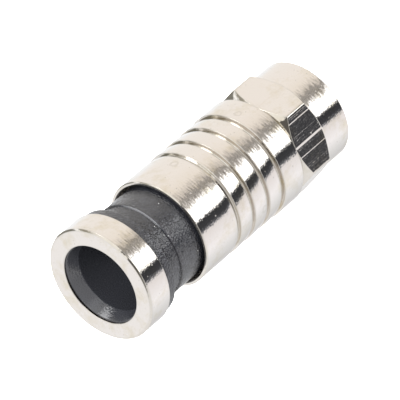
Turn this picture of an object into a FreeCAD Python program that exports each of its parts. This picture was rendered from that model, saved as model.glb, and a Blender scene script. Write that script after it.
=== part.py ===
"""F type coaxial compression connector, in millimetres.

The connector stands on the front face of its coupling nut at z = 0, with its axis along Z and
the cable end up. It is shown before the cable is fitted: the ferrule is drawn out of the sleeve
by its full compression travel. Each sub-part is one turned or moulded piece in a STEP file of
its own. The nut's 3/8-32 thread is left as a plain bore at the radius of its crests.
"""
import FreeCAD, Part

import math
import os

# Coupling nut, outside
nose_wall = 0.5675
hexagon_step = 0.17
nut_length = 7.6
nose_length = 4.34
rear_corner_setback = 0.83
hexagon_chamfer_deg = 41.0
hexagon_blank_margin = 0.5
nose_edge_break = 0.2
nut_rear_edge_break = 0.05

# Coupling nut, inside
thread_major_diameter = 9.525
thread_height = 0.3875
thread_entry_chamfer = 0.4
thread_relief_depth = 0.1
thread_relief_length = 1.6
lip_thickness = 0.85
lip_running_clearance = 0.08
nut_end_play = 0.1

# Post, the tube that goes under the braid of the cable
post_bore_diameter = 4.8
post_shoulder_wall = 1.1
post_flange_thickness = 0.9
post_flange_entry_clearance = 0.125
post_edge_break = 0.1
stem_wall = 0.4
post_tip_wall = 0.2
post_tip_setback = 0.2
barb_height = 0.3
barb_length = 1.3
barb_land = 0.2

# Seal ring between the nut and the sleeve, its round section drawn with flat sides
seal_section_diameter = 0.95
seal_section_sides = 12
seal_radial_clearance = 0.15
seal_seat_clearance = 0.01

# Sleeve, outside
sleeve_length = 14.7
sleeve_mouth_wall = 0.41
front_band_step = 0.07
front_band_length = 2.8
sleeve_end_chamfer = 0.08
groove_count = 4
groove_pitch = 2.23
groove_width = 0.42
tooth_back_length = 0.85
tooth_back_drop = 0.1
groove_floor_wall = 0.54
rear_groove_floor_wall = 0.29

# Sleeve, inside
sleeve_front_wall = 2.5
mouth_clearance = 0.25
mouth_depth = 1.0
mouth_chamfer = 0.12
guide_end_clearance = 0.05

# Ferrule
compression_travel = 4.95
cable_bore_diameter = 7.7
barrel_wall = 1.25
barrel_insertion = 1.8
barrel_running_clearance = 0.05
barrel_taper_length = 0.5
ferrule_nose_wall = 0.75
ferrule_nose_length = 1.7
ferrule_nose_lead = 0.25
ferrule_nose_clearance = 0.1
neck_relief = 0.15
neck_length = 1.95
stop_flange_overhang = 0.09
stop_flange_thickness = 1.1
spigot_wall = 0.54
spigot_recess = 0.25
cable_entry_wall = 0.16
cable_entry_depth = 1.4
ferrule_edge_break = 0.08

# End ring pressed on the ferrule's spigot
ring_length = 2.85
ring_overhang = 0.25
ring_face_chamfer = 0.15
ring_bore_chamfer = 0.03
ring_rear_edge_break = 0.06

# Radii, from the bore of each piece outwards
thread_major_radius = thread_major_diameter / 2
thread_minor_radius = thread_major_radius - thread_height
nose_radius = thread_major_radius + nose_wall
across_flats = 2 * (nose_radius + hexagon_step)
post_bore_radius = post_bore_diameter / 2
post_shoulder_radius = post_bore_radius + post_shoulder_wall
post_flange_radius = thread_minor_radius - post_flange_entry_clearance
lip_radius = post_shoulder_radius + lip_running_clearance
seal_pocket_radius = post_shoulder_radius + seal_section_diameter + seal_radial_clearance
cable_bore_radius = cable_bore_diameter / 2
barrel_radius = cable_bore_radius + barrel_wall
ferrule_nose_radius = cable_bore_radius + ferrule_nose_wall
spigot_radius = cable_bore_radius + spigot_wall
grip_bore_radius = ferrule_nose_radius + ferrule_nose_clearance
guide_bore_radius = barrel_radius + barrel_running_clearance
mouth_radius = barrel_radius + mouth_clearance
sleeve_radius = mouth_radius + sleeve_mouth_wall
front_band_radius = sleeve_radius + front_band_step
stop_flange_radius = sleeve_radius + stop_flange_overhang
ring_radius = stop_flange_radius + ring_overhang
taper_slope = (barrel_radius - ferrule_nose_radius) / barrel_taper_length

# Heights, from the nut's front face to the ring's end face
sleeve_front = nut_length + nut_end_play
sleeve_rear = sleeve_front + sleeve_length
stop_flange_front = sleeve_rear + compression_travel
ring_rear = stop_flange_front + stop_flange_thickness
ring_face = ring_rear + ring_length
spigot_end = ring_face - spigot_recess
barrel_start = stop_flange_front - neck_length
barrel_end = sleeve_rear - barrel_insertion
ferrule_nose_start = barrel_end - barrel_taper_length
ferrule_nose_end = ferrule_nose_start - ferrule_nose_length
guide_end = barrel_end - compression_travel - guide_end_clearance
grip_start = guide_end - (guide_bore_radius - grip_bore_radius) / taper_slope
post_shoulder_end = sleeve_front + sleeve_front_wall
post_tip = ferrule_nose_end - post_tip_setback
lip_rear = nut_length - seal_section_diameter
lip_front = lip_rear - lip_thickness
post_flange_rear = lip_front - nut_end_play
post_front = post_flange_rear - post_flange_thickness

UP = FreeCAD.Vector(0, 0, 1)
ORIGIN = FreeCAD.Vector(0, 0, 0)


def turned(outline):
    """Solid turned about Z from corners (radius, height) or (radius, height, edge break)."""
    corners = [FreeCAD.Vector(corner[0], 0, corner[1]) for corner in outline]
    loop = []
    for index, corner in enumerate(corners):
        edge_break = outline[index][2] if len(outline[index]) > 2 else 0
        if edge_break > 0:
            to_before = (corners[index - 1] - corner).normalize()
            to_after = (corners[(index + 1) % len(corners)] - corner).normalize()
            loop.append(corner + to_before * edge_break)
            loop.append(corner + to_after * edge_break)
        else:
            loop.append(corner)
    section = Part.Face(Part.makePolygon(loop + [loop[0]]))
    return section.revolve(ORIGIN, UP, 360)


def hexagon_corner_radius():
    """Radius of the hexagon's corners."""
    return across_flats / 2 / math.cos(math.radians(30))


def hexagonal_prism(length):
    """Prism on z = 0 with two of its corners on the Y axis."""
    radius = hexagon_corner_radius()
    corners = []
    for step in range(7):
        angle = math.radians(30 + 60 * step)
        corners.append(FreeCAD.Vector(radius * math.cos(angle), radius * math.sin(angle), 0))
    return Part.Face(Part.makePolygon(corners)).extrude(UP * length)


def make_coupling_nut():
    """Hexagon with a round nose, a thread bore, and a lip that runs behind the post's flange.

    The blank is turned with a cone at each end of the hexagon, and the flats are cut from it, so
    each flat ends in the curved edges of a chamfered nut.
    """
    rise = math.tan(math.radians(hexagon_chamfer_deg))
    corner_radius = hexagon_corner_radius()
    blank_radius = corner_radius + hexagon_blank_margin
    margin_rise = hexagon_blank_margin * rise
    nose_foot = nose_length - (corner_radius - nose_radius) * rise
    rear_face_radius = corner_radius - rear_corner_setback / rise
    relief_radius = thread_major_radius + thread_relief_depth
    relief_start = lip_front - thread_relief_length
    relief_taper = relief_radius - thread_minor_radius
    section = [
        (thread_minor_radius + thread_entry_chamfer, 0),
        (nose_radius, 0, nose_edge_break),
        (nose_radius, nose_foot),
        (blank_radius, nose_length + margin_rise),
        (blank_radius, nut_length - rear_corner_setback - margin_rise),
        (rear_face_radius, nut_length, nut_rear_edge_break),
        (seal_pocket_radius, nut_length),
        (seal_pocket_radius, lip_rear),
        (lip_radius, lip_rear),
        (lip_radius, lip_front),
        (relief_radius, lip_front),
        (relief_radius, relief_start + relief_taper),
        (thread_minor_radius, relief_start),
        (thread_minor_radius, thread_entry_chamfer),
    ]
    return turned(section).common(hexagonal_prism(nut_length))


def make_post():
    """Flanged tube: its flange traps the nut, its shoulder is pressed in the sleeve."""
    stem_radius = post_bore_radius + stem_wall
    barb_start = post_tip - barb_length
    section = [
        (post_bore_radius, post_front),
        (post_flange_radius, post_front, post_edge_break),
        (post_flange_radius, post_flange_rear, post_edge_break),
        (post_shoulder_radius, post_flange_rear),
        (post_shoulder_radius, post_shoulder_end),
        (stem_radius, post_shoulder_end),
        (stem_radius, barb_start),
        (stem_radius + barb_height, barb_start),
        (stem_radius + barb_height, barb_start + barb_land),
        (post_bore_radius + post_tip_wall, post_tip),
        (post_bore_radius, post_tip),
    ]
    return turned(section)


def make_seal_ring():
    """Ring on the post's shoulder, in the nut's rear pocket, against the sleeve's front face."""
    section_radius = seal_section_diameter / 2 - seal_seat_clearance
    centre_radius = post_shoulder_radius + seal_section_diameter / 2
    centre_height = sleeve_front - seal_section_diameter / 2
    section = []
    for side in range(seal_section_sides):
        angle = 2 * math.pi * side / seal_section_sides
        radius = centre_radius + section_radius * math.cos(angle)
        section.append((radius, centre_height + section_radius * math.sin(angle)))
    return turned(section)


def saw_tooth_grooves():
    """Corners of the grooves: a sharp wall at the nut side and a slanted wall at the cable side.

    The back of each tooth falls gently towards its groove. The last groove lies over the wider
    guide bore, so it is shallower than the others.
    """
    grip_floor = grip_bore_radius + groove_floor_wall
    guide_floor = guide_bore_radius + rear_groove_floor_wall
    corners = []
    for index in range(groove_count):
        wall = sleeve_front + front_band_length + index * groove_pitch
        crest = front_band_radius if index == 0 else sleeve_radius
        floor = guide_floor if index == groove_count - 1 else grip_floor
        corners.append((crest, wall))
        corners.append((floor, wall))
        corners.append((sleeve_radius - tooth_back_drop, wall + groove_width))
        corners.append((sleeve_radius, wall + groove_width + tooth_back_length))
    return corners


def make_body_sleeve():
    """Outer sleeve: a front wall that grips the post, and a stepped bore that guides the ferrule."""
    mouth_end = sleeve_rear - mouth_depth
    mouth_step = mouth_radius - guide_bore_radius
    front = [
        (post_shoulder_radius, sleeve_front),
        (front_band_radius, sleeve_front, sleeve_end_chamfer),
    ]
    rear = [
        (sleeve_radius, sleeve_rear, sleeve_end_chamfer),
        (mouth_radius, sleeve_rear, mouth_chamfer),
    ]
    inside = [
        (mouth_radius, mouth_end),
        (guide_bore_radius, mouth_end - mouth_step),
        (guide_bore_radius, guide_end),
        (grip_bore_radius, grip_start),
        (grip_bore_radius, post_shoulder_end),
        (post_shoulder_radius, post_shoulder_end),
    ]
    return turned(front + saw_tooth_grooves() + rear + inside)


def make_compression_ferrule():
    """Moulded ferrule: a spigot for the end ring, a stop flange, a neck, a barrel and a nose."""
    section = [
        (spigot_radius - cable_entry_wall, spigot_end),
        (spigot_radius, spigot_end),
        (spigot_radius, ring_rear),
        (stop_flange_radius, ring_rear, ferrule_edge_break),
        (stop_flange_radius, stop_flange_front, ferrule_edge_break),
        (barrel_radius - neck_relief, stop_flange_front),
        (barrel_radius - neck_relief, barrel_start),
        (barrel_radius, barrel_start),
        (barrel_radius, barrel_end),
        (ferrule_nose_radius, ferrule_nose_start),
        (ferrule_nose_radius, ferrule_nose_end, ferrule_nose_lead),
        (cable_bore_radius, ferrule_nose_end),
        (cable_bore_radius, spigot_end - cable_entry_depth),
    ]
    return turned(section)


def make_end_ring():
    """Plain metal band on the ferrule's spigot, which the compression tool pushes on."""
    section = [
        (spigot_radius, ring_rear),
        (ring_radius, ring_rear, ring_rear_edge_break),
        (ring_radius, ring_face, ring_face_chamfer),
        (spigot_radius, ring_face, ring_bore_chamfer),
    ]
    return turned(section)


def main():
    """Build every sub-part and write its STEP file."""
    shapes = {
        "coupling_nut": make_coupling_nut(),
        "post": make_post(),
        "o_ring": make_seal_ring(),
        "body_sleeve": make_body_sleeve(),
        "compression_ferrule": make_compression_ferrule(),
        "end_ring": make_end_ring(),
    }
    os.makedirs("parts", exist_ok=True)
    for name, shape in shapes.items():
        shape.exportStep(f"parts/{name}.step")


main()
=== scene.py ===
"""Coaxial F plug for cable ends: a nickel-plated nut and sleeve with a black push-in ferrule.

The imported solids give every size. The pieces made here stand where those solids stand, with
rounded edges, the nut's thread, and the finishes of plated brass, moulded acetal and rubber.
Sizes are in millimetres until MM turns them to metres, unless a line says otherwise.
"""

import math

import bmesh
import bpy
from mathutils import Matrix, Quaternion, Vector


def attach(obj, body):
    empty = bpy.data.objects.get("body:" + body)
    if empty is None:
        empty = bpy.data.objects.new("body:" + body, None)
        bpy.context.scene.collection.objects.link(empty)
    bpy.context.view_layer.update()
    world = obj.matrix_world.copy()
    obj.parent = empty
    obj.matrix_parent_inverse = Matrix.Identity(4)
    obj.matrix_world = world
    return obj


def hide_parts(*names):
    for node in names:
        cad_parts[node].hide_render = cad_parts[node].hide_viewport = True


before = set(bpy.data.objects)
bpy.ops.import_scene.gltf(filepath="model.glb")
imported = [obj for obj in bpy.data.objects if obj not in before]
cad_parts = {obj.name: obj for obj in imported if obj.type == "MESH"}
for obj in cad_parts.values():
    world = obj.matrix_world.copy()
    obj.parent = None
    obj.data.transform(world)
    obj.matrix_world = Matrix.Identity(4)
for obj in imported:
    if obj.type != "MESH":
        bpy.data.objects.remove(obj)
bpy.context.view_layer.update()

bl_info = {
    "name": "F plug",
    "version": (1, 0, 0),
    "blender": (4, 5, 0),
    "location": "View3D > Sidebar > F plug",
    "description": "Builds a coaxial F plug and the studio that it stands in",
    "category": "Add Mesh",
}

MM = 0.001
FULL_TURN = 2 * math.pi
SIXTH = FULL_TURN / 6

# Vertices nearer than this are one, in metres.
SAME_PLACE = 0.0005 * MM

# The kinds of node that come up most.
MATH, VECTOR_MATH = "ShaderNodeMath", "ShaderNodeVectorMath"
MAP_RANGE, NOISE = "ShaderNodeMapRange", "ShaderNodeTexNoise"

# The attributes that the meshes carry.
WEAR = "edge_wear"
ROUNDING = "rounding"
THREADED = "threaded"
DRAWN = "drawn_flat"
BEVEL_WEIGHT = "bevel_weight_edge"

# The rounding of a crisp edge, and sizes that two pieces share, or a piece and its finish.
CRISP = 0.03
PRESS_RADIUS, PRESS_END = 3.5, 10.2
SPIGOT_RADIUS, RING_SEAT = 4.39, 28.45
FERRULE_STEP, MOUTH_CONE_END = 25.4, 29.65


# Settings


class NutSettings(bpy.types.PropertyGroup):
    """Sizes of the coupling nut that the photograph and the port's thread give."""

    across_flats: bpy.props.FloatProperty(
        name="Across flats", description="Width of the hexagon, in millimetres", default=11.0)
    thread_pitch: bpy.props.FloatProperty(
        name="Thread pitch", description="Rise in one turn of a 3/8-32 thread, in millimetres",
        default=25.4 / 32, precision=4)
    thread_radius: bpy.props.FloatProperty(
        name="Thread radius", description="Radius at the root of the thread, in millimetres",
        default=4.7625, precision=4)
    edge_round: bpy.props.FloatProperty(
        name="Edge round", description="Width of the worn edges, in millimetres", default=0.025)
    corner_round: bpy.props.FloatProperty(
        name="Corner round", description="Radius of the hexagon's corners, in millimetres",
        default=0.3)
    columns: bpy.props.IntProperty(
        name="Columns", description="Steps round the nut, a multiple of twelve", default=240)


class TurningSettings(bpy.types.PropertyGroup):
    """How finely the turned and moulded rings are divided."""

    segments: bpy.props.IntProperty(
        name="Segments", description="Steps round a turned piece", default=216)
    round_steps: bpy.props.IntProperty(
        name="Round steps", description="Steps across a rounded edge", default=3)
    fade_width: bpy.props.FloatProperty(
        name="Fade width", description="How far the wear of an edge reaches, in millimetres",
        default=0.16)


class FinishSettings(bpy.types.PropertyGroup):
    """Colours of the finishes, as sRGB hex."""

    nickel: bpy.props.StringProperty(
        name="Nickel", description="Colour of clean bright nickel", default="#DEDAD5")
    nickel_stain: bpy.props.StringProperty(
        name="Nickel stain", description="Colour where the plating has yellowed",
        default="#CFC7B2")
    edge_stain: bpy.props.StringProperty(
        name="Edge stain", description="Colour of the plating along its edges", default="#CBC8C1")
    acetal: bpy.props.StringProperty(
        name="Acetal", description="Colour of the moulded black ferrule", default="#1D1E22")
    acetal_scuff: bpy.props.StringProperty(
        name="Acetal scuff", description="Colour of the scuffed black surface", default="#2A2B2F")
    # The bore's paler black is painted light, brightening it where it lies in shade.
    acetal_bore_painted_light: bpy.props.StringProperty(
        name="Acetal core", description="Colour of the ferrule's bore", default="#292A2E")
    rubber: bpy.props.StringProperty(
        name="Rubber", description="Colour of the seal ring", default="#1B1B1C")


class StudioSettings(bpy.types.PropertyGroup):
    """Camera and floor."""

    azimuth: bpy.props.FloatProperty(
        name="Azimuth", description="Where the camera stands, in degrees from -Y towards +X",
        default=-5.0)
    elevation: bpy.props.FloatProperty(
        name="Elevation", description="Height of the camera above the horizon, in degrees",
        default=35.8)
    roll: bpy.props.FloatProperty(
        name="Roll", description="Turn of the camera about its own axis, in degrees",
        default=-130.67)
    lens: bpy.props.FloatProperty(
        name="Lens", description="Focal length, in millimetres", default=1500.0)
    frame_width: bpy.props.FloatProperty(
        name="Frame width", description="Width of the picture at the plug, in millimetres",
        default=37.6)
    aim: bpy.props.FloatVectorProperty(
        name="Aim", description="Middle of the picture, in millimetres", size=3,
        default=(-0.06, 0.0, 16.2))
    floor_width: bpy.props.FloatProperty(
        name="Floor width", description="Width of the floor, in metres", default=4.0,
        unit="LENGTH")
    floor_colour: bpy.props.StringProperty(
        name="Floor", description="Colour of the floor", default="#F7F7F6")


class PlugSettings(bpy.types.PropertyGroup):
    """All settings of the plug."""

    nut: bpy.props.PointerProperty(type=NutSettings)
    turning: bpy.props.PointerProperty(type=TurningSettings)
    finish: bpy.props.PointerProperty(type=FinishSettings)
    studio: bpy.props.PointerProperty(type=StudioSettings)


# Small helpers


def linear(hex_colour, strength=1.0):
    """An sRGB hex colour as linear RGBA, times a strength."""
    values = []
    for start in (1, 3, 5):
        channel = int(hex_colour[start:start + 2], 16) / 255
        if channel <= 0.04045:
            channel = channel / 12.92
        else:
            channel = ((channel + 0.055) / 1.055) ** 2.4
        values.append(channel * strength)
    return (*values, 1.0)


def direction_of(azimuth, elevation):
    """The direction at an azimuth, from -Y towards +X, and an elevation, both in degrees."""
    side, lift = math.radians(azimuth), math.radians(elevation)
    return Vector((math.sin(side) * math.cos(lift), -math.cos(side) * math.cos(lift),
                   math.sin(lift)))


def add(tree, kind, inputs=None, **settings):
    """Adds a node. An input is a value, a socket, or a node, which stands for its first output."""
    node = tree.nodes.new(kind)
    for name, value in settings.items():
        setattr(node, name, value)
    for key, value in (inputs or {}).items():
        if isinstance(value, bpy.types.Node):
            value = value.outputs[0]
        if isinstance(value, bpy.types.NodeSocket):
            tree.links.new(value, node.inputs[key])
        else:
            node.inputs[key].default_value = value
    return node


def emptied_tree(owner):
    """Turns on the nodes of a material or world, and gives its tree with nothing in it."""
    owner.use_nodes = True
    owner.node_tree.nodes.clear()
    return owner.node_tree


def new_material(name):
    """A material and its empty tree."""
    material = bpy.data.materials.new(name)
    return material, emptied_tree(material)


def axis_distance(tree, place):
    """Distance of a point from the plug's axis, in the unit of its place."""
    flat = add(tree, VECTOR_MATH, {0: place, 1: (1.0, 1.0, 0.0)}, operation="MULTIPLY")
    return add(tree, VECTOR_MATH, {0: flat}, operation="LENGTH").outputs["Value"]


def new_tree(name, sizes):
    """A geometry tree with a Geometry input, one input for each size, a Material and an output."""
    tree = bpy.data.node_groups.new(name, "GeometryNodeTree")
    tree.interface.new_socket("Geometry", in_out="INPUT", socket_type="NodeSocketGeometry")
    for size_name, kind, description in sizes:
        tree.interface.new_socket(
            size_name, in_out="INPUT", socket_type=kind, description=description)
    tree.interface.new_socket("Material", in_out="INPUT", socket_type="NodeSocketMaterial")
    tree.interface.new_socket("Geometry", in_out="OUTPUT", socket_type="NodeSocketGeometry")
    return tree, add(tree, "NodeGroupInput")


def end_tree(tree, source, geometry):
    """Ends a tree with real geometry that carries the material."""
    real = add(tree, "GeometryNodeRealizeInstances", {"Geometry": geometry})
    painted = add(tree, "GeometryNodeSetMaterial", {
        "Geometry": real, "Material": source.outputs["Material"]})
    add(tree, "NodeGroupOutput", {0: painted})
    return tree


def bake_tree(piece, tree, values):
    """Runs a geometry tree on a piece, and keeps the result as its plain mesh."""
    modifier = piece.modifiers.new(tree.name, "NODES")
    modifier.node_group = tree
    for item in tree.interface.items_tree:
        if item.in_out == "INPUT" and item.name in values:
            modifier[item.identifier] = values[item.name]
    keep_result(piece)


def keep_result(piece):
    """Turns what the modifiers make into the piece's own mesh, and removes them."""
    depsgraph = bpy.context.evaluated_depsgraph_get()
    depsgraph.update()
    made = bpy.data.meshes.new_from_object(
        piece.evaluated_get(depsgraph), preserve_all_data_layers=True, depsgraph=depsgraph)
    piece.modifiers.clear()
    old = piece.data
    piece.data = made
    bpy.data.meshes.remove(old)
    made.name = piece.name


def new_object(name, data):
    """An object at the origin, in the scene. The place of a piece is in its mesh."""
    made = bpy.data.objects.new(name, data)
    bpy.context.scene.collection.objects.link(made)
    return made


def set_values(mesh, name, domain, values):
    """Gives a mesh an attribute with a number for each point or face."""
    mesh.attributes.new(name, "FLOAT", domain).data.foreach_set("value", values)


def merged_shell(mesh):
    """A copy of a mesh to work on, its doubles merged and its faces turned outwards."""
    shell = bmesh.new()
    shell.from_mesh(mesh)
    bmesh.ops.remove_doubles(shell, verts=shell.verts, dist=SAME_PLACE)
    bmesh.ops.dissolve_degenerate(shell, edges=shell.edges, dist=SAME_PLACE)
    bmesh.ops.recalc_face_normals(shell, faces=shell.faces)
    return shell


def put_back(shell, mesh):
    """Writes the worked copy to its mesh, and frees it."""
    shell.to_mesh(mesh)
    shell.free()


def close_and_smooth(piece):
    """Merges doubles, and shades broad faces true up to their rounded edges."""
    sharp = math.radians(38)
    shell = merged_shell(piece.data)
    open_edges = sum(1 for edge in shell.edges if not edge.is_manifold)
    if open_edges:
        raise RuntimeError(f"{piece.name} has {open_edges} open edges")
    put_back(shell, piece.data)
    piece.data.polygons.foreach_set("use_smooth", [True] * len(piece.data.polygons))
    piece.data.set_sharp_from_angle(angle=sharp)
    weighted = piece.modifiers.new("Broad faces first", "WEIGHTED_NORMAL")
    weighted.mode = "FACE_AREA"
    weighted.weight = 100
    weighted.keep_sharp = True
    keep_result(piece)


def put_in_frame(piece, node, body):
    """Stands a piece for its CAD node, which it hides, on the node's body."""
    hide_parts(node)
    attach(piece, body)


# Turned and moulded rings


def turned_tree():
    """Sweeps a closed outline round the Z axis, after it has rounded the outline's corners."""
    tree, source = new_tree("Turned piece", [
        ("Segments", "NodeSocketInt", "Steps round the axis"),
        ("Round steps", "NodeSocketInt", "Steps across a rounded corner"),
        ("Path radius", "NodeSocketFloat", "Radius of the circle that the outline follows"),
    ])
    outline = add(tree, "GeometryNodeMeshToCurve", {"Mesh": source.outputs["Geometry"]})
    corner = add(tree, "GeometryNodeInputNamedAttribute", {"Name": ROUNDING}, data_type="FLOAT")
    rounded = add(tree, "GeometryNodeFilletCurve", {
        "Curve": outline, "Count": source.outputs["Round steps"], "Radius": corner,
        "Limit Radius": True}, mode="POLY")
    circle = add(tree, "GeometryNodeCurvePrimitiveCircle", {
        "Resolution": source.outputs["Segments"], "Radius": source.outputs["Path radius"]})
    upright = add(tree, "GeometryNodeSetCurveNormal", {"Curve": circle}, mode="Z_UP")
    swept = add(tree, "GeometryNodeCurveToMesh", {"Curve": upright, "Profile Curve": rounded})
    return end_tree(tree, source, swept)


def outline_with_fades(corners, fade):
    """The outline with a point on each side of a rounded corner, where its wear ends.

    Each point is a place, its rounding and its wear. A side has room if both its ends could have
    one.
    """
    clear, room = 1.1, 2.2
    points = []
    for index, (radius, height, rounding) in enumerate(corners):
        here = Vector((radius, height))
        reach = clear * rounding + fade
        fades = []
        for neighbour in (corners[index - 1], corners[(index + 1) % len(corners)]):
            side = Vector(neighbour[:2]) - here
            has_room = rounding > 0 and side.length > room * reach
            fades.append([(here + side.normalized() * reach, 0.0, 0.0)] if has_room else [])
        worn = 1.0 if rounding > 0 else 0.0
        points += [*fades[0], (here, rounding, worn), *fades[1]]
    return points


def turned_piece(name, corners, material, node, body):
    """One ring-shaped piece, from the corners of its section: radius, height and rounding."""
    settings = bpy.context.scene.f_plug.turning
    path_radius = 1.0
    points = outline_with_fades(corners, settings.fade_width)
    count = len(points)
    mesh = bpy.data.meshes.new(name)
    # The sweep turns the outline upside down, so it starts that way.
    mesh.from_pydata(
        [((place.x - path_radius) * MM, -place.y * MM, 0.0) for place, _, _ in points],
        [(index, (index + 1) % count) for index in range(count)], [])
    set_values(mesh, ROUNDING, "POINT", [rounding * MM for _, rounding, _ in points])
    set_values(mesh, WEAR, "POINT", [worn for _, _, worn in points])
    piece = new_object(name, mesh)
    tree = bpy.data.node_groups.get("Turned piece") or turned_tree()
    bake_tree(piece, tree, {
        "Segments": settings.segments, "Round steps": settings.round_steps,
        "Path radius": path_radius * MM, "Material": material})
    close_and_smooth(piece)
    put_in_frame(piece, node, body)


# Coupling nut

# Radii of the nut's section, and its heights above the front face.
NOSE, NOSE_FACE, MOUTH, CREST = 5.33, 5.13, 4.775, 4.375
RELIEF, LIP, POCKET, REAR_FACE = 4.8625, 3.58, 4.6, 5.396
NOSE_CHAMFER, STEP, RELIEF_START, RELIEF_DEEP = 0.2, 3.4525, 4.2, 4.69
LIP_FRONT, LIP_BACK, REAR = 5.8, 6.65, 7.6

# Slope of the cones at both ends of the hexagon.
HEXAGON_CONE = math.tan(math.radians(41))


def corner_offset(angle):
    """Angle from the hexagon's nearest corner. One of its flats faces +X."""
    return angle % SIXTH - SIXTH / 2


def corner_middle(settings):
    """Distance from the axis to the middle of the arc that rounds a corner."""
    return (settings.across_flats / 2 - settings.corner_round) / math.cos(SIXTH / 2)


def corner_half_angle(settings):
    """Half of the angle that one rounded corner takes up."""
    rounding = settings.corner_round
    return math.atan2(rounding / 2, corner_middle(settings) + rounding * math.cos(SIXTH / 2))


def hexagon_radius(angle, settings):
    """Distance from the axis to the hexagon, with its rounded corners, at an angle from +X."""
    offset = corner_offset(angle)
    if abs(offset) < corner_half_angle(settings):
        middle = corner_middle(settings)
        across = middle * math.sin(offset)
        return middle * math.cos(offset) + math.sqrt(settings.corner_round ** 2 - across ** 2)
    return settings.across_flats / 2 / math.cos(SIXTH / 2 - abs(offset))


def column_angles(settings):
    """Angles of the nut's columns: closer together towards the corners of the hexagon."""
    half = settings.columns // 12
    angles = []
    for flat in range(6):
        for step in range(-half, half):
            spread = 1 - (1 - abs(step) / half) ** 2
            angles.append(SIXTH * (flat + math.copysign(spread, step) / 2))
    return sorted(angle % FULL_TURN for angle in angles)


def nut_rows(angle, settings):
    """The nut's section at an angle: radius, height and wear, from 0 to 1, of each corner."""
    fade = 0.15
    radius = hexagon_radius(angle, settings)
    low = STEP + (radius - NOSE) * HEXAGON_CONE
    high = REAR - (radius - REAR_FACE) * HEXAGON_CONE
    on_corner = 1.0 if abs(corner_offset(angle)) < corner_half_angle(settings) else 0.0
    return [
        (MOUTH, 0.0, 0.6), (NOSE_FACE, 0.0, 0.6), (NOSE, NOSE_CHAMFER, 0.6),
        (NOSE, NOSE_CHAMFER + fade, 0.0), (NOSE, STEP - fade, 0.0), (NOSE, STEP, 0.5),
        (radius, low, 1.0), (radius, low + fade, on_corner),
        (radius, high - fade, on_corner), (radius, high, 1.0), (REAR_FACE, REAR, 1.0),
        (POCKET, REAR, 0.4), (POCKET, LIP_BACK, 0.0), (LIP, LIP_BACK, 0.0),
        (LIP, LIP_FRONT, 0.0), (RELIEF, LIP_FRONT, 0.0), (RELIEF, RELIEF_DEEP, 0.0),
    ]


# Rows of the section between which the flats of the hexagon lie.
FLAT_ROWS = range(6, 9)


def bore_radius(height):
    """Radius of the plain bore before it is threaded, from the mouth's chamfer to the relief."""
    into_relief = (height - RELIEF_START) / (RELIEF_DEEP - RELIEF_START)
    return max(CREST, MOUTH - height, CREST + into_relief * (RELIEF - CREST))


def nut_blank(settings):
    """The nut as a closed shell, its bore in rows that already follow the thread's rise."""
    rows_per_turn = 16
    turns = math.ceil(RELIEF_DEEP / settings.thread_pitch) + 1
    bore_rows = range(-rows_per_turn, turns * rows_per_turn)
    angles = column_angles(settings)
    vertices, wear, threaded = [], [], []
    section, bore = [], []
    for angle in angles:
        section.append([])
        for radius, height, worn in nut_rows(angle, settings):
            section[-1].append(len(vertices))
            vertices.append((radius * math.cos(angle), radius * math.sin(angle), height))
            wear.append(worn)
            threaded.append(0.0)
    for angle in angles:
        bore.append({})
        for row in bore_rows:
            height = (row / rows_per_turn + angle / FULL_TURN) * settings.thread_pitch
            height = min(max(height, 0.0), RELIEF_DEEP)
            radius = bore_radius(height)
            bore[-1][row] = len(vertices)
            vertices.append((radius * math.cos(angle), radius * math.sin(angle), height))
            wear.append(0.0)
            threaded.append(1.0 if 0.0 < height < RELIEF_DEEP else 0.0)
    faces, drawn = [], []
    for column, ring in enumerate(section):
        following = (column + 1) % len(angles)
        for row in range(len(ring) - 1):
            faces.append((ring[row], section[following][row],
                          section[following][row + 1], ring[row + 1]))
            drawn.append(1.0 if row in FLAT_ROWS else 0.0)
        # After a full turn the rows meet those one pitch further up.
        lifted = rows_per_turn if following == 0 else 0
        for row in bore_rows[:-1]:
            across, above = row + lifted, row + lifted + 1
            if above not in bore[following]:
                continue
            faces.append((bore[column][row], bore[following][across],
                          bore[following][above], bore[column][row + 1]))
            drawn.append(0.0)
    mesh = bpy.data.meshes.new("coupling_nut_blank")
    mesh.from_pydata([tuple(value * MM for value in vertex) for vertex in vertices], [], faces)
    set_values(mesh, WEAR, "POINT", wear)
    set_values(mesh, THREADED, "POINT", threaded)
    set_values(mesh, DRAWN, "FACE", drawn)
    return mesh


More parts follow.
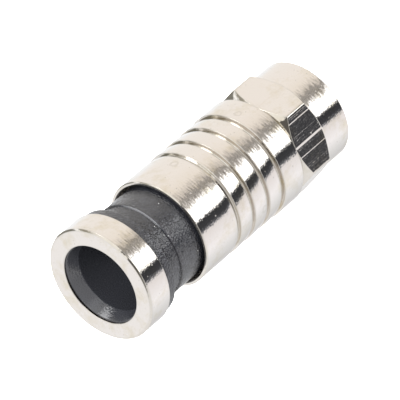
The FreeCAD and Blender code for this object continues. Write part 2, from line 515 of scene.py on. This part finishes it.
def thread_tree():
    """Cuts a thread in the rows of a bore: each point goes out to where the tool's path passes."""
    tree, source = new_tree("Threaded bore", [
        ("Pitch", "NodeSocketFloat", "Rise in one turn"),
        ("Crest radius", "NodeSocketFloat", "Radius of the bore before the thread is cut"),
        ("Root radius", "NodeSocketFloat", "Radius at the bottom of the thread"),
    ])
    place = add(tree, "GeometryNodeInputPosition")
    parts = add(tree, "ShaderNodeSeparateXYZ", {0: place})
    angle = add(tree, MATH, {0: parts.outputs["Y"], 1: parts.outputs["X"]}, operation="ARCTAN2")
    turn = add(tree, MATH, {0: angle, 1: FULL_TURN}, operation="DIVIDE")
    rise = add(tree, MATH, {0: parts.outputs["Z"], 1: source.outputs["Pitch"]}, operation="DIVIDE")
    phase = add(tree, MATH, {0: rise, 1: turn}, operation="SUBTRACT")
    wave = add(tree, MATH, {0: phase, 1: 0.5}, operation="PINGPONG")
    # An eighth of the pitch is left flat at each side of a crest, and a sixteenth at the root.
    depth = add(tree, MAP_RANGE, {"Value": wave, "From Min": 1 / 8, "From Max": 1 / 2 - 1 / 16})
    cut = add(tree, MAP_RANGE, {
        "Value": depth, "To Min": source.outputs["Crest radius"],
        "To Max": source.outputs["Root radius"]})
    radius = axis_distance(tree, place)
    wider = add(tree, MATH, {0: radius, 1: cut}, operation="MAXIMUM")
    stretch = add(tree, MATH, {0: wider, 1: radius}, operation="DIVIDE")
    scale = add(tree, "ShaderNodeCombineXYZ", {"X": stretch, "Y": stretch, "Z": 1.0})
    moved = add(tree, VECTOR_MATH, {0: place, 1: scale}, operation="MULTIPLY")
    in_thread = add(tree, "GeometryNodeInputNamedAttribute", {"Name": THREADED}, data_type="FLOAT")
    chosen = add(tree, MATH, {0: in_thread, 1: 0.5}, operation="GREATER_THAN")
    threaded = add(tree, "GeometryNodeSetPosition", {
        "Geometry": source.outputs["Geometry"], "Selection": chosen, "Position": moved})
    return end_tree(tree, source, threaded)


def weigh_edges(mesh):
    """Marks the nut's outer edges for rounding: sharp ones that are no part of the thread."""
    sharp = math.radians(20)
    outside, rear = 4.9 * MM, 7.5 * MM
    shell = merged_shell(mesh)
    weight = shell.edges.layers.float.new(BEVEL_WEIGHT)
    for edge in shell.edges:
        if len(edge.link_faces) != 2 or edge.calc_face_angle() < sharp:
            continue
        if all(vertex.co.xy.length > outside or vertex.co.z > rear for vertex in edge.verts):
            edge[weight] = 1.0
    put_back(shell, mesh)


def make_nut(material):
    """The nut: hexagon with coned ends, plain nose, inner lip and a 3/8-32 thread."""
    settings = bpy.context.scene.f_plug.nut
    piece = new_object("threaded_nut", nut_blank(settings))
    bake_tree(piece, thread_tree(), {
        "Pitch": settings.thread_pitch * MM, "Crest radius": CREST * MM,
        "Root radius": settings.thread_radius * MM, "Material": material})
    weigh_edges(piece.data)
    bevel = piece.modifiers.new("Worn edges", "BEVEL")
    bevel.limit_method = "WEIGHT"
    bevel.width = settings.edge_round * MM
    bevel.segments = 3
    bevel.use_clamp_overlap = True
    keep_result(piece)
    close_and_smooth(piece)
    put_in_frame(piece, "coupling_nut", "nut")


# Finishes. Every place is in millimetres, so a scale is a number of grains to the millimetre.

# Marks on the finishes, and the painted highlight on the ferrule's step, as sRGB hex.
DRIED_DROP, PIT_DIRT = "#AFA99C", "#5E564A"
DUST, RIM_PAINTED_HIGHLIGHT, BLOOM = "#B9B9B8", "#5C5D60", "#3A3A3A"

# Directions from the axis, on the side that the photograph shows.
STROKED_SIDE = (0.122, -0.993, 0.0)
# On this side the rim of the ferrule's step gets its painted highlight.
RIM_HIGHLIGHT_SIDE = (0.44, -0.9, 0.0)


def millimetres(tree):
    """The piece's own coordinates in millimetres."""
    place = add(tree, "ShaderNodeTexCoord").outputs["Object"]
    return add(tree, "ShaderNodeMapping", {
        "Vector": place, "Scale": (1 / MM, 1 / MM, 1 / MM)}).outputs[0]


def facing(tree, place, side):
    """How squarely the plug's surface faces a side: 1 straight at it, 0 across, -1 behind."""
    flat = add(tree, VECTOR_MATH, {0: place, 1: (1.0, 1.0, 0.0)}, operation="MULTIPLY")
    outward = add(tree, VECTOR_MATH, {0: flat}, operation="NORMALIZE")
    return add(tree, VECTOR_MATH, {0: outward, 1: side}, operation="DOT_PRODUCT").outputs["Value"]


def distance_from(tree, value, middle):
    """How far a value is from a middle one, either way."""
    gap = add(tree, MATH, {0: value, 1: middle}, operation="SUBTRACT")
    return add(tree, MATH, {0: gap}, operation="ABSOLUTE")


def streaks(tree, place, per_mm, detail, roughness=0.5):
    """Noise that is stretched: it has its own number of grains to the millimetre on each axis."""
    stretched = add(tree, VECTOR_MATH, {0: place, 1: per_mm}, operation="MULTIPLY")
    return add(tree, NOISE, {
        "Vector": stretched, "Scale": 1.0, "Detail": detail, "Roughness": roughness})


def layered(tree, base, layers):
    """A base colour with others over it: each layer is how much of it shows, and its hex."""
    colour = linear(base)
    for amount, over in layers:
        colour = add(tree, "ShaderNodeMix", {"Factor": amount, "A": colour, "B": linear(over)},
                     data_type="RGBA").outputs["Result"]
    return colour


def tipped_round(tree, place, normal, wander, amount):
    """The normal, tipped round the plug's axis by how far a value is from the middle of 0 to 1."""
    around = add(tree, VECTOR_MATH, {0: (0.0, 0.0, 1.0), 1: place}, operation="CROSS_PRODUCT")
    around = add(tree, VECTOR_MATH, {0: around}, operation="NORMALIZE")
    around = add(tree, "ShaderNodeVectorTransform", {0: around},
                 vector_type="VECTOR", convert_from="OBJECT", convert_to="WORLD")
    tip = add(tree, MAP_RANGE, {"Value": wander, "To Min": -amount, "To Max": amount})
    sideways = add(tree, VECTOR_MATH, {0: around, "Scale": tip}, operation="SCALE")
    tipped = add(tree, VECTOR_MATH, {0: normal, 1: sideways}, operation="ADD")
    return add(tree, VECTOR_MATH, {0: tipped}, operation="NORMALIZE")


def bright_nickel(name, seed):
    """Bright nickel, plated on turned brass and tumbled in a barrel with other plugs.

    The plate is warm and mirror-like, so the eye reads it from its bands of light. The turning
    lines and the soft waves left by tumbling make the ends of those bands ragged.
    """
    finish = bpy.context.scene.f_plug.finish
    material, tree = new_material(name)
    place = millimetres(tree)
    # Each piece reads its own part of the patterns.
    moved = add(tree, VECTOR_MATH, {0: place, 1: (seed * 7.3, seed * 3.1, 0.0)}, operation="ADD")
    # Turning lines are 0.05 mm apart on the real plug, and are drawn 0.2 mm apart to show.
    lines = streaks(tree, moved, (0.35, 0.35, 5.0), 0.0)
    # The polish wanders in strokes 0.6 mm long and 0.15 mm apart. They are strong only on the
    # side that the photograph shows, to give a band of light its ragged end there.
    strokes = streaks(tree, moved, (1.6, 1.6, 6.5), 0.5)
    strong = add(tree, MAP_RANGE, {
        "Value": facing(tree, place, STROKED_SIDE), "From Min": 0.945, "From Max": 0.985,
        "To Min": 0.12, "To Max": 0.75})
    stray = add(tree, MATH, {0: strokes, 1: 0.5}, operation="SUBTRACT")
    stroked = add(tree, MATH, {0: stray, 1: strong, 2: 0.5}, operation="MULTIPLY_ADD")
    # Drawn bar keeps its scratches, which run along it. They are far finer on the real plug, and
    # are drawn 0.12 mm apart to show, with a few deep ones among them.
    scratches = add(tree, MAP_RANGE, {
        "Value": streaks(tree, moved, (8.0, 8.0, 0.04), 3.0, 0.7),
        "From Min": 0.56, "From Max": 0.74, "To Min": 0.385, "To Max": -0.035})
    deep = add(tree, MAP_RANGE, {
        "Value": streaks(tree, moved, (2.6, 2.6, 0.02), 1.0),
        "From Min": 0.66, "From Max": 0.69, "To Max": -0.7})
    scratched = add(tree, MATH, {0: scratches, 1: deep}, operation="ADD")
    mottle = add(tree, NOISE, {"Vector": moved, "Scale": 5.0, "Detail": 2.0, "Roughness": 0.7})
    mottled = add(tree, MATH, {0: mottle, 1: 0.55, 2: scratched}, operation="MULTIPLY_ADD")
    flat = add(tree, "ShaderNodeAttribute", attribute_name=DRAWN).outputs["Fac"]
    wander = add(tree, "ShaderNodeMix", {"Factor": flat, "A": stroked, "B": mottled},
                 data_type="FLOAT")
    # Tumbling leaves a grain of shallow dents about 0.15 mm across, and a few pits.
    dents = add(tree, NOISE, {"Vector": moved, "Scale": 6.0, "Detail": 1.0})
    pits = add(tree, "ShaderNodeTexVoronoi", {"Vector": moved, "Scale": 1.6})
    pit = add(tree, MAP_RANGE, {
        "Value": pits.outputs["Distance"], "From Max": 0.11, "To Min": 1.0, "To Max": 0.0})
    dirt = add(tree, MATH, {0: pit, 1: 0.45}, operation="MULTIPLY")
    # The plating has yellowed in clouds about 2 mm across.
    clouds = add(tree, NOISE, {"Vector": moved, "Scale": 0.45, "Detail": 5.0, "Roughness": 0.65})
    stain = add(tree, MAP_RANGE, {
        "Value": clouds, "From Min": 0.48, "From Max": 0.74, "To Max": 0.8})
    # Rinse water dried in a few rings, about 0.6 mm across.
    shaky = add(tree, VECTOR_MATH, {
        0: clouds.outputs["Color"], 1: (0.9, 0.9, 0.9), 2: moved}, operation="MULTIPLY_ADD")
    drops = add(tree, "ShaderNodeTexVoronoi", {"Vector": shaky, "Scale": 0.3})
    dried = add(tree, MAP_RANGE, {
        "Value": distance_from(tree, drops.outputs["Distance"], 0.1),
        "From Max": 0.05, "To Min": 0.28, "To Max": 0.0})
    edge = add(tree, "ShaderNodeAttribute", attribute_name=WEAR).outputs["Fac"]
    patch = add(tree, NOISE, {"Vector": moved, "Scale": 1.1, "Detail": 3.0})
    worn = add(tree, MATH, {0: edge, 1: patch}, operation="MULTIPLY", use_clamp=True)
    colour = layered(tree, finish.nickel, (
        (stain, finish.nickel_stain), (dried, DRIED_DROP), (worn, finish.edge_stain),
        (dirt, PIT_DIRT)))
    polish = add(tree, MAP_RANGE, {
        "Value": clouds, "From Min": 0.3, "From Max": 0.7, "To Min": 0.05, "To Max": 0.1})
    # The drawn flats are a little matter than the turned faces.
    roughness = add(tree, MATH, {0: flat, 1: 0.06, 2: polish}, operation="MULTIPLY_ADD")
    hollows = add(tree, MATH, {0: pit, 1: -2.0, 2: dents}, operation="MULTIPLY_ADD")
    dented = add(tree, "ShaderNodeBump", {
        "Strength": 1.0, "Distance": 0.007 * MM, "Height": hollows})
    lined = add(tree, "ShaderNodeBump", {
        "Strength": 1.0, "Distance": 0.004 * MM, "Height": lines, "Normal": dented})
    shader = add(tree, "ShaderNodeBsdfPrincipled", {
        "Base Color": colour, "Metallic": 1.0, "Roughness": roughness,
        "Normal": tipped_round(tree, place, lined, wander, 0.17)})
    add(tree, "ShaderNodeOutputMaterial", {"Surface": shader})
    return material


def moulded_acetal():
    """Black acetal, injection moulded and scuffed by other plugs in the bag.

    It is charcoal with a low satin sheen, hairlines round it and scuffs that catch the light,
    and it pales towards its silhouettes. Its index of refraction is 1.72, where real acetal has
    1.48, because that gives the sheen of the photograph.
    """
    finish = bpy.context.scene.f_plug.finish
    material, tree = new_material("black_acetal_moulded")
    place = millimetres(tree)
    height = add(tree, "ShaderNodeSeparateXYZ", {0: place}).outputs["Z"]
    radius = axis_distance(tree, place)
    # Hairlines 0.14 mm apart run round it, on its sides and on its end faces.
    along = add(tree, MATH, {0: radius, 1: 1.3, 2: height}, operation="MULTIPLY_ADD")
    hairlines = add(tree, NOISE, {"W": along, "Scale": 7.0, "Detail": 2.0}, noise_dimensions="1D")
    # The mould's spark finish is about 0.03 mm, and is drawn 0.18 mm across to show.
    grain = add(tree, NOISE, {"Vector": place, "Scale": 5.6, "Detail": 0.0})
    scuffs = add(tree, NOISE, {"Vector": place, "Scale": 1.2, "Detail": 4.0, "Roughness": 0.7})
    scuff = add(tree, MAP_RANGE, {"Value": scuffs, "From Min": 0.45, "From Max": 0.75})
    dust = add(tree, "ShaderNodeTexVoronoi", {"Vector": place, "Scale": 1.1})
    speck = add(tree, MAP_RANGE, {
        "Value": dust.outputs["Distance"], "From Min": 0.03, "From Max": 0.06,
        "To Min": 1.0, "To Max": 0.0})
    # The photograph has a light line on the rim of the barrel's step, so the rim is painted pale
    # there,
    # for a sixth of a turn: a painted highlight of the softbox.
    rim = FERRULE_STEP - 0.03
    on_rim = add(tree, MAP_RANGE, {
        "Value": distance_from(tree, height, rim),
        "From Min": 0.03, "From Max": 0.07, "To Min": 1.0, "To Max": 0.0})
    # Masks the painted highlight to the side of the rim that faces the softbox.
    facing_highlight_side = add(tree, MAP_RANGE, {
        "Value": facing(tree, place, RIM_HIGHLIGHT_SIDE), "From Min": 0.87, "From Max": 0.95})
    rim_highlight = add(tree, MATH, {0: on_rim, 1: facing_highlight_side}, operation="MULTIPLY")
    # The bore, inside the spigot, has the matt finish of the mould's core and no scuffs. Its paler
    # black is painted light, which brightens the bore where it lies in shade.
    inside = add(tree, MAP_RANGE, {
        "Value": radius, "From Min": SPIGOT_RADIUS - 0.03, "From Max": SPIGOT_RADIUS - 0.07})
    colour = layered(tree, finish.acetal, (
        (scuff, finish.acetal_scuff), (speck, DUST), (rim_highlight, RIM_PAINTED_HIGHLIGHT),
        (inside, finish.acetal_bore_painted_light)))
    roughness = add(tree, MAP_RANGE, {
        "Value": grain, "From Min": 0.3, "From Max": 0.7, "To Min": 0.11, "To Max": 0.2})
    smoother = add(tree, MAP_RANGE, {"Value": inside, "To Min": 1.0, "To Max": 0.2})
    grained = add(tree, "ShaderNodeBump", {
        "Strength": smoother, "Distance": 0.06 * MM, "Height": grain})
    lined = add(tree, "ShaderNodeBump", {
        "Strength": 1.0, "Distance": 0.004 * MM, "Height": hairlines, "Normal": grained})
    # Flow marks, drawn 0.3 mm long and 0.12 mm apart, break up the sheen.
    flow = streaks(tree, place, (3.0, 3.0, 8.0), 3.0)
    tipped = tipped_round(tree, place, lined, flow, 0.05)
    # The entry of the bore is a plain cone. Only its normal is tipped up a little, so that it
    # catches the softbox where the photograph has a highlight.
    above_bore = add(tree, MAP_RANGE, {
        "Value": height, "From Min": MOUTH_CONE_END + 0.01, "From Max": MOUTH_CONE_END + 0.07,
        "To Max": 0.2})
    lift = add(tree, MATH, {0: above_bore, 1: inside}, operation="MULTIPLY")
    upward = add(tree, "ShaderNodeCombineXYZ", {"Z": lift})
    lifted = add(tree, VECTOR_MATH, {0: tipped, 1: upward}, operation="ADD")
    normal = add(tree, VECTOR_MATH, {0: lifted}, operation="NORMALIZE")
    shader = add(tree, "ShaderNodeBsdfPrincipled", {
        "Base Color": colour, "Roughness": roughness, "IOR": 1.72, "Normal": normal})
    add(tree, "ShaderNodeOutputMaterial", {"Surface": shader})
    return material


def moulded_rubber():
    """Nitrile rubber, compression moulded: dull near-black with a faint grey bloom."""
    finish = bpy.context.scene.f_plug.finish
    material, tree = new_material("nitrile_rubber_moulded")
    place = millimetres(tree)
    patches = add(tree, NOISE, {"Vector": place, "Scale": 0.9, "Detail": 5.0})
    bloom = add(tree, MAP_RANGE, {
        "Value": patches, "From Min": 0.45, "From Max": 0.75, "To Max": 0.5})
    colour = layered(tree, finish.rubber, ((bloom, BLOOM),))
    # The mould's matt grain, 0.07 mm across.
    grain = add(tree, NOISE, {"Vector": place, "Scale": 14.0, "Detail": 2.0})
    bump = add(tree, "ShaderNodeBump", {"Strength": 1.0, "Distance": 0.006 * MM, "Height": grain})
    shader = add(tree, "ShaderNodeBsdfPrincipled", {
        "Base Color": colour, "Roughness": 0.72, "IOR": 1.52, "Normal": bump})
    add(tree, "ShaderNodeOutputMaterial", {"Surface": shader})
    return material


# Studio


def floor_paper(colour):
    """Matt white photographic paper: even and pale, with a faint tooth 0.5 mm across."""
    material, tree = new_material("matt_white_paper")
    tooth = add(tree, NOISE, {"Vector": millimetres(tree), "Scale": 2.0, "Detail": 3.0})
    bump = add(tree, "ShaderNodeBump", {"Strength": 0.3, "Distance": 0.01 * MM, "Height": tooth})
    shader = add(tree, "ShaderNodeBsdfPrincipled", {
        "Base Color": linear(colour), "Roughness": 0.95, "Specular IOR Level": 0.0,
        "Emission Color": linear("#FFFFFF"), "Emission Strength": 0.55, "Normal": bump})
    add(tree, "ShaderNodeOutputMaterial", {"Surface": shader})
    return material


def light_bands(tree, factor, stops, low, high):
    """A colour ramp over a range of values: each stop is a value, an sRGB hex and a strength."""
    scaled = add(tree, MAP_RANGE, {"Value": factor, "From Min": low, "From Max": high})
    node = add(tree, "ShaderNodeValToRGB", {"Fac": scaled})
    elements = node.color_ramp.elements
    while len(elements) > 1:
        elements.remove(elements[-1])
    for index, (value, hex_colour, strength) in enumerate(stops):
        position = (value - low) / (high - low)
        element = elements[0] if index == 0 else elements.new(position)
        element.position = position
        element.color = linear(hex_colour, strength)
    return node.outputs["Color"]


LIGHT_SCALE = 3.0

# The tent by degrees from the camera towards +X: colour and share of LIGHT_SCALE. The low bands
# are what the upright walls mirror, the middle ones the grooves and rounded edges, and the top
# ones the nut's rear cone. All were placed until the metal showed the photograph's bands.
LOW_BANDS = [
    (-180, "#FFFFFF", 0.36), (-152, "#FDFDFF", 0.25), (-120, "#FCFDFF", 0.33),
    (-92, "#FCFBFF", 0.42), (-60, "#FDF9FA", 0.36), (-55, "#FDF9FA", 0.34),
    (-52, "#ECEFFA", 0.085), (-47, "#E8EBF6", 0.026), (-32, "#E8EBF6", 0.020),
    (-30, "#F4F5FA", 0.10), (-27, "#FFFFFF", 0.80), (-4, "#FFFFFF", 0.78), (1, "#FFFFFF", 0.46),
    (4, "#FFFAF5", 0.26), (7, "#FFFAF5", 0.34), (9, "#FFF9F2", 0.04), (12, "#FFF9F2", 0.27),
    (15, "#FFF9F2", 0.04), (18, "#FFF8F0", 0.22), (21, "#FFF8F0", 0.11), (25, "#FFF7EE", 0.20),
    (30, "#FFF6EC", 0.27), (44, "#FFF7ED", 0.37), (70, "#FFF9F3", 0.39), (130, "#FFFBF7", 0.38),
    (150, "#FAFCFF", 0.39), (180, "#FFFFFF", 0.36),
]
MIDDLE_BANDS = [
    (-180, "#FFFEFF", 0.38), (-64, "#FFFDFB", 0.36), (-50, "#FFFDFB", 0.30),
    (13, "#FFFDFB", 0.30), (22, "#FFFFFF", 0.50), (60, "#FFFBF4", 0.42),
    (88, "#FFFBF4", 0.36), (96, "#FFF8E6", 0.16), (107, "#FFF8E6", 0.14),
    (111, "#FFFFFF", 0.50), (115, "#FFFFFF", 0.50), (119, "#FCFAEE", 0.10),
    (145, "#FCFAEE", 0.12), (154, "#FFFEFF", 0.38), (180, "#FFFEFF", 0.38),
]
TOP_BANDS = [
    (-180, "#FFFDFB", 0.38), (-100, "#FFFDFB", 0.30), (-64, "#FFFAF2", 0.09),
    (-20, "#FFF8F0", 0.05), (11, "#FFF8F0", 0.05), (20, "#FFFBF4", 0.42),
    (60, "#FFFBF4", 0.42), (180, "#FFFEFF", 0.38),
]

# Straight down the tent goes by how far a ray points to +X, from -1 to 1: white on the -X side
# and pale on the other.
DOWN_BANDS = [
    (-0.3, "#FFFFFF", 0.60), (0.0, "#FFFFFF", 0.60), (0.12, "#F2F0F4", 0.36),
    (0.5, "#FBF6EE", 0.40),
]

# The main softbox: degrees from the camera towards +X, height, half width and width of its soft
# edge in degrees, and strength.
SOFTBOX = (66, 14, 7, 9, 5.0)

# What the camera sees behind the plug: a backdrop a little over white.
BACKDROP_STRENGTH = 1.05


def studio_light(settings):
    """Light from all round, as a white tent with dark cards gives: soft, with bands in metal."""
    world = bpy.data.worlds.new("light_tent")
    bpy.context.scene.world = world
    tree = emptied_tree(world)
    direction = add(tree, "ShaderNodeTexCoord").outputs["Generated"]
    parts = add(tree, "ShaderNodeSeparateXYZ", {0: direction})
    front = add(tree, MATH, {0: parts.outputs["Y"], 1: -1.0}, operation="MULTIPLY")
    angle = add(tree, MATH, {0: parts.outputs["X"], 1: front}, operation="ARCTAN2")
    degrees = add(tree, MATH, {0: angle}, operation="DEGREES")
    degrees = add(tree, MATH, {0: degrees, 1: settings.azimuth}, operation="SUBTRACT")
    low, middle, top = (light_bands(tree, degrees, bands, -180, 180)
                        for bands in (LOW_BANDS, MIDDLE_BANDS, TOP_BANDS))
    below = light_bands(tree, parts.outputs["X"], DOWN_BANDS, -1, 1)
    # Each set takes over from the one before between two heights, from -1 straight down to 1.
    around = low
    for bands, start, full in ((middle, -0.42, -0.3), (top, 0.64, 0.74), (below, -0.86, -0.95)):
        amount = add(tree, MAP_RANGE, {
            "Value": parts.outputs["Z"], "From Min": start, "From Max": full})
        around = add(tree, "ShaderNodeMix", {"Factor": amount, "A": around, "B": bands},
                     data_type="RGBA").outputs["Result"]
    tent = add(tree, "ShaderNodeBackground", {"Color": around, "Strength": LIGHT_SCALE})
    turn, lift, reach, edge, strength = SOFTBOX
    nearness = add(tree, VECTOR_MATH, {
        0: direction, 1: direction_of(settings.azimuth + turn, lift)}, operation="DOT_PRODUCT")
    in_box = add(tree, MAP_RANGE, {
        "Value": nearness.outputs["Value"], "From Min": math.cos(math.radians(reach + edge)),
        "From Max": math.cos(math.radians(reach))})
    softbox = add(tree, "ShaderNodeBackground", {"Color": linear("#FFFFFF"), "Strength": strength})
    lit = add(tree, "ShaderNodeMixShader", {0: in_box, 1: tent, 2: softbox})
    backdrop = add(tree, "ShaderNodeBackground", {
        "Color": linear("#FFFFFF"), "Strength": BACKDROP_STRENGTH})
    ray = add(tree, "ShaderNodeLightPath")
    seen = add(tree, "ShaderNodeMixShader", {0: ray.outputs["Is Camera Ray"], 1: lit, 2: backdrop})
    add(tree, "ShaderNodeOutputWorld", {"Surface": seen})


def overhead_light():
    """A broad soft lamp above and in front, which fills the black ferrule. No mirror shows it."""
    # Its place and its size are in metres.
    plug_middle = Vector((0.0, 0.0, 16.0 * MM))
    light = bpy.data.lights.new("soft_overhead", "AREA")
    light.shape = "DISK"
    light.size = 0.5
    light.energy = 11.0
    lamp = new_object("soft_overhead", light)
    lamp.location = (0.1, -0.35, 0.6)
    lamp.rotation_mode = "QUATERNION"
    lamp.rotation_quaternion = (plug_middle - lamp.location).to_track_quat("-Z", "Y")
    lamp.visible_glossy = False


def stage_floor(settings):
    """The floor that the plug stands on. Mirrors see the tent instead of it."""
    sides, sunk = 96, 0.02
    half = settings.floor_width / 2
    angles = [FULL_TURN * step / sides for step in range(sides)]
    mesh = bpy.data.meshes.new("paper_floor")
    mesh.from_pydata(
        [(half * math.cos(angle), half * math.sin(angle), -sunk * MM) for angle in angles],
        [], [range(sides)])
    floor = new_object("paper_floor", mesh)
    mesh.materials.append(floor_paper(settings.floor_colour))
    floor.visible_glossy = False


def stage_camera(settings):
    """A long lens at the photograph's angle, turned about its own axis as the plug lies there."""
    back = direction_of(settings.azimuth, settings.elevation)
    camera_data = bpy.data.cameras.new("long_lens")
    camera_data.lens = settings.lens
    camera_data.sensor_width = 36.0
    camera_data.clip_start = 0.01
    distance = settings.frame_width * settings.lens / camera_data.sensor_width * MM
    camera = new_object("long_lens", camera_data)
    camera.location = Vector(settings.aim) * MM + back * distance
    camera.rotation_mode = "QUATERNION"
    roll = Quaternion((0.0, 0.0, 1.0), math.radians(settings.roll))
    camera.rotation_quaternion = (-back).to_track_quat("-Z", "Y") @ roll
    bpy.context.scene.camera = camera


# Operators. Each corner of a section is its radius, its height and its rounding.


class PLUG_OT_coupling_nut(bpy.types.Operator):
    """Makes the coupling nut with its thread"""

    bl_idname = "f_plug.coupling_nut"
    bl_label = "Coupling nut"

    def execute(self, context):
        make_nut(bright_nickel("bright_nickel_nut", 1))
        return {"FINISHED"}


class PLUG_OT_sleeve(bpy.types.Operator):
    """Makes the grooved sleeve"""

    bl_idname = "f_plug.sleeve"
    bl_label = "Grooved sleeve"

    def execute(self, context):
        land, band, mouth, guide, grip = 5.76, 5.83, 5.35, 5.15, 4.7
        front, grip_end, guide_start, guide_end = 7.7, 15.15, 15.6, 21.2
        mouth_start, end = 21.4, 22.4
        chamfer, notch, ramp = 0.08, 0.42, 1.27
        corners = [(PRESS_RADIUS, front, 0.05), (band - chamfer, front, CRISP),
                   (band, front + chamfer, CRISP)]
        top = band
        for wall, floor in ((10.5, 5.24), (12.73, 5.24), (14.96, 5.24), (17.19, 5.44)):
            corners += [(top, wall, 0.04), (floor, wall, 0.05),
                        (land - 0.1, wall + notch, 0.06), (land, wall + ramp, 0.0)]
            top = land
        corners += [
            (land, end - chamfer, CRISP), (land - chamfer, end, CRISP), (mouth + 0.12, end, CRISP),
            (mouth, end - 0.12, CRISP), (mouth, mouth_start, 0.0), (guide, guide_end, 0.0),
            (guide, guide_start, 0.0), (grip, grip_end, 0.0), (grip, PRESS_END, 0.0),
            (PRESS_RADIUS, PRESS_END, 0.0)]
        turned_piece("grooved_sleeve", corners, bright_nickel("bright_nickel_sleeve", 2),
                     "body_sleeve", "body")
        return {"FINISHED"}


class PLUG_OT_post(bpy.types.Operator):
    """Makes the post that the cable's braid goes round"""

    bl_idname = "f_plug.post"
    bl_label = "Post"

    def execute(self, context):
        bore, stem, barb, flange = 2.4, 2.8, 3.1, 4.25
        face, flange_back, barb_start, barb_top, tip = 4.8, 5.7, 16.9, 17.1, 18.2
        corners = [
            (bore, face, 0.08), (flange, face, 0.08), (flange, flange_back, 0.05),
            (PRESS_RADIUS, flange_back, 0.0), (PRESS_RADIUS, PRESS_END, 0.05),
            (stem, PRESS_END, 0.0), (stem, barb_start, 0.0), (barb, barb_start, CRISP),
            (barb, barb_top, 0.04), (bore + 0.2, tip, CRISP), (bore, tip, CRISP)]
        turned_piece("flanged_post", corners, bright_nickel("bright_nickel_post", 3),
                     "post", "body")
        return {"FINISHED"}


class PLUG_OT_seal_ring(bpy.types.Operator):
    """Makes the rubber seal ring"""

    bl_idname = "f_plug.seal_ring"
    bl_label = "Seal ring"

    def execute(self, context):
        middle, height, radius, steps = 3.975, 7.225, 0.465, 40
        corners = []
        for step in range(steps):
            angle = FULL_TURN * (step + 0.5) / steps
            corners.append((middle + radius * math.cos(angle),
                            height + radius * math.sin(angle), 0.0))
        # The mould's two halves leave a line of flash round the outside.
        outside, flash_half, flash_out = middle + radius, 0.02, 0.03
        corners += [(outside, height - flash_half, 0.0), (outside + flash_out, height, 0.0),
                    (outside, height + flash_half, 0.0)]
        turned_piece("seal_ring", corners, moulded_rubber(), "o_ring", "body")
        return {"FINISHED"}


class PLUG_OT_ferrule(bpy.types.Operator):
    """Makes the black ferrule that is pushed into the sleeve"""

    bl_idname = "f_plug.ferrule"
    bl_label = "Ferrule"

    def execute(self, context):
        bore, nose, barrel, neck, flange, mouth = 3.85, 4.6, 5.1, 4.95, 5.85, 4.23
        front, nose_end, barrel_start, flange_front, spigot_end = 18.4, 20.1, 20.6, 27.35, 31.05
        corners = [
            (bore, front, 0.0), (nose - 0.25, front, 0.04), (nose, front + 0.25, 0.05),
            (nose, nose_end, 0.0), (barrel, barrel_start, 0.05), (barrel, FERRULE_STEP, 0.13),
            (neck, FERRULE_STEP, 0.02), (neck, flange_front, 0.08),
            (flange, flange_front, 0.08), (flange, RING_SEAT, 0.05),
            (SPIGOT_RADIUS, RING_SEAT, 0.0), (SPIGOT_RADIUS, spigot_end, 0.0),
            (mouth, spigot_end, 0.05), (bore, MOUTH_CONE_END, 0.06)]
        turned_piece("moulded_ferrule", corners, moulded_acetal(),
                     "compression_ferrule", "ferrule")
        return {"FINISHED"}


class PLUG_OT_end_ring(bpy.types.Operator):
    """Makes the metal ring on the cable end"""

    bl_idname = "f_plug.end_ring"
    bl_label = "End ring"

    def execute(self, context):
        outside, mouth, lip_start, end = 6.1, 4.3, 31.07, 31.3
        seat_chamfer, end_chamfer, mouth_chamfer = 0.06, 0.15, 0.03
        corners = [
            (SPIGOT_RADIUS, RING_SEAT, 0.0), (outside - seat_chamfer, RING_SEAT, CRISP),
            (outside, RING_SEAT + seat_chamfer, CRISP), (outside, end - end_chamfer, CRISP),
            (outside - end_chamfer, end, CRISP), (mouth + mouth_chamfer, end, 0.02),
            (mouth, end - mouth_chamfer, 0.02), (mouth, lip_start, 0.0),
            (SPIGOT_RADIUS, lip_start, 0.0)]
        turned_piece("pressed_ring", corners, bright_nickel("bright_nickel_ring", 4),
                     "end_ring", "ferrule")
        return {"FINISHED"}


class PLUG_OT_stage(bpy.types.Operator):
    """Makes the floor, the light and the camera"""

    bl_idname = "f_plug.stage"
    bl_label = "Stage"

    def execute(self, context):
        settings = context.scene.f_plug.studio
        stage_camera(settings)
        stage_floor(settings)
        studio_light(settings)
        overhead_light()
        context.scene.view_settings.view_transform = "Standard"
        context.scene.view_settings.look = "None"
        return {"FINISHED"}


class PLUG_PT_parts(bpy.types.Panel):
    """Lists the plug's pieces and their settings"""

    bl_label = "F plug"
    bl_space_type = "VIEW_3D"
    bl_region_type = "UI"
    bl_category = "F plug"

    def draw(self, context):
        for operator in OPERATORS:
            self.layout.operator(operator.bl_idname)
        settings = context.scene.f_plug
        for group in (settings.nut, settings.turning, settings.finish, settings.studio):
            box = self.layout.box()
            for name in group.__annotations__:
                box.prop(group, name)


SETTINGS = (NutSettings, TurningSettings, FinishSettings, StudioSettings, PlugSettings)
OPERATORS = (
    PLUG_OT_stage, PLUG_OT_coupling_nut, PLUG_OT_sleeve, PLUG_OT_post, PLUG_OT_seal_ring,
    PLUG_OT_ferrule, PLUG_OT_end_ring)


def register():
    """Registers the settings, the operators and the panel."""
    for item in (*SETTINGS, *OPERATORS, PLUG_PT_parts):
        bpy.utils.register_class(item)
    bpy.types.Scene.f_plug = bpy.props.PointerProperty(type=PlugSettings)


def unregister():
    """Takes away what register added."""
    del bpy.types.Scene.f_plug
    for item in reversed((*SETTINGS, *OPERATORS, PLUG_PT_parts)):
        bpy.utils.unregister_class(item)


def main():
    """Builds the stage and every piece."""
    register()
    bpy.ops.f_plug.stage()
    bpy.ops.f_plug.coupling_nut()
    bpy.ops.f_plug.sleeve()
    bpy.ops.f_plug.post()
    bpy.ops.f_plug.seal_ring()
    bpy.ops.f_plug.ferrule()
    bpy.ops.f_plug.end_ring()


if __name__ == "__main__":
    main()
